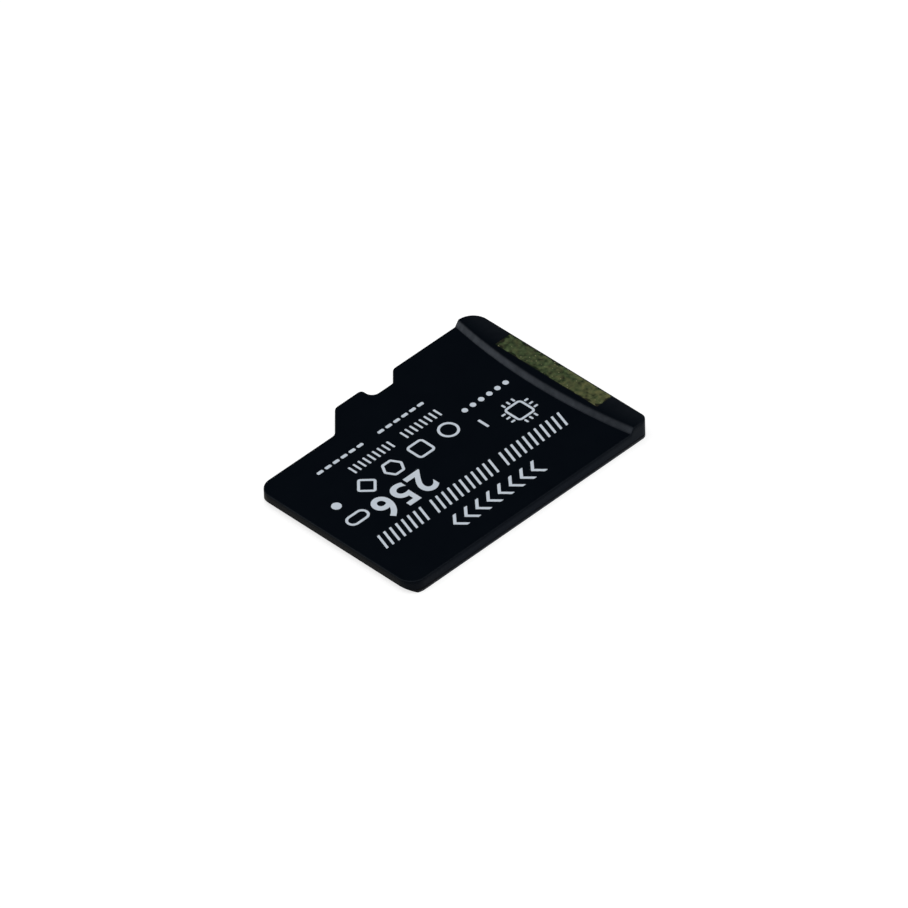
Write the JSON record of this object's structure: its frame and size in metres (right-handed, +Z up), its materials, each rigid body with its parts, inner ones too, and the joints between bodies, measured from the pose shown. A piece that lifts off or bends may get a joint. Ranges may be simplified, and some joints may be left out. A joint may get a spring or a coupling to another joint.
{
  "type": "microsd memory card",
  "caption": "Thin keyed memory card: black moulded case with a curved finger lip, a latch notch and a stepped side, over a board with gold contact fingers.",
  "frame": {"origin": "middle of the card's bounding box on its underside, where it rests", "axes": "+X towards the insertion end, -Y towards the keyed side with the notch, +Z up out of the label face"},
  "size_m": [0.015, 0.011, 0.001],
  "materials": {
    "mould_compound": "satin black moulding compound",
    "board_mask": "matt black solder mask",
    "gold_plating": "hard gold plating",
    "silicon": "polished silicon",
    "die_film": "adhesive film",
    "capacitor_ceramic": "fired ceramic with tinned ends",
    "bond_wire": "drawn gold wire",
    "print_ink": "pad-printed pale ink",
    "laser_mark": "laser-marked moulding compound"
  },
  "bodies": {
    "root": {"moulded_case": "mould_compound", "substrate_board": "board_mask", "contact_1": "gold_plating", "contact_2": "gold_plating", "contact_3": "gold_plating", "contact_4": "gold_plating", "contact_5": "gold_plating", "contact_6": "gold_plating", "contact_7": "gold_plating", "contact_8": "gold_plating", "flash_die_lower": "silicon", "flash_die_upper": "silicon", "controller_die": "silicon", "film_flash_lower": "die_film", "film_flash_upper": "die_film", "film_controller": "die_film", "capacitor_1": "capacitor_ceramic", "capacitor_2": "capacitor_ceramic", "capacitor_3": "capacitor_ceramic", "capacitor_4": "capacitor_ceramic", "bond_wires_flash_lower": "bond_wire", "bond_wires_flash_upper": "bond_wire", "bond_wires_controller_front": "bond_wire", "bond_wires_controller_back": "bond_wire"}
  },
  "joints": []
}
